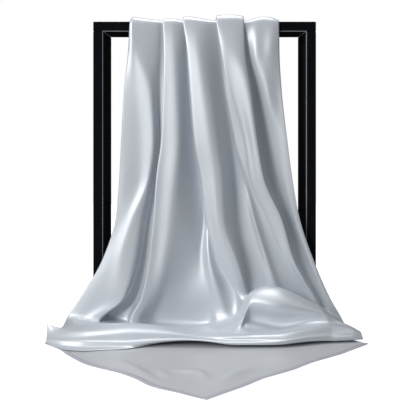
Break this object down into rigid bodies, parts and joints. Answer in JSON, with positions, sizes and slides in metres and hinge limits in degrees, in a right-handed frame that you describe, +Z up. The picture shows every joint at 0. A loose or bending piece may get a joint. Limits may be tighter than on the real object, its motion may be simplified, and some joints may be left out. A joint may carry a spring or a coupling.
{
  "type": "square scarf draped over a black display stand",
  "caption": "Square satin scarf gathered over an open box stand, falling in pleats to a folded heap and a flat corner on the floor.",
  "frame": {"origin": "centre of the stand's underside, on the surface that it stands on", "axes": "+Z up, -Y towards the viewer and the scarf's flat corner, +X to the viewer's right"},
  "size_m": [0.477, 0.4745, 0.5028],
  "materials": {
    "silver_satin": "silver-grey polyester satin, glossy face",
    "silver_satin_back": "silver-grey polyester satin, dull side",
    "black_lacquer": "black satin lacquer on board"
  },
  "bodies": {
    "root": {"scarf_over_board": "silver_satin", "scarf_front_fall": "silver_satin", "scarf_back_fall": "silver_satin", "scarf_floor_fold": "silver_satin", "scarf_flat_corner": "silver_satin_back", "stand_top_board": "black_lacquer", "stand_bottom_board": "black_lacquer", "stand_left_board": "black_lacquer", "stand_right_board": "black_lacquer"}
  },
  "joints": []
}
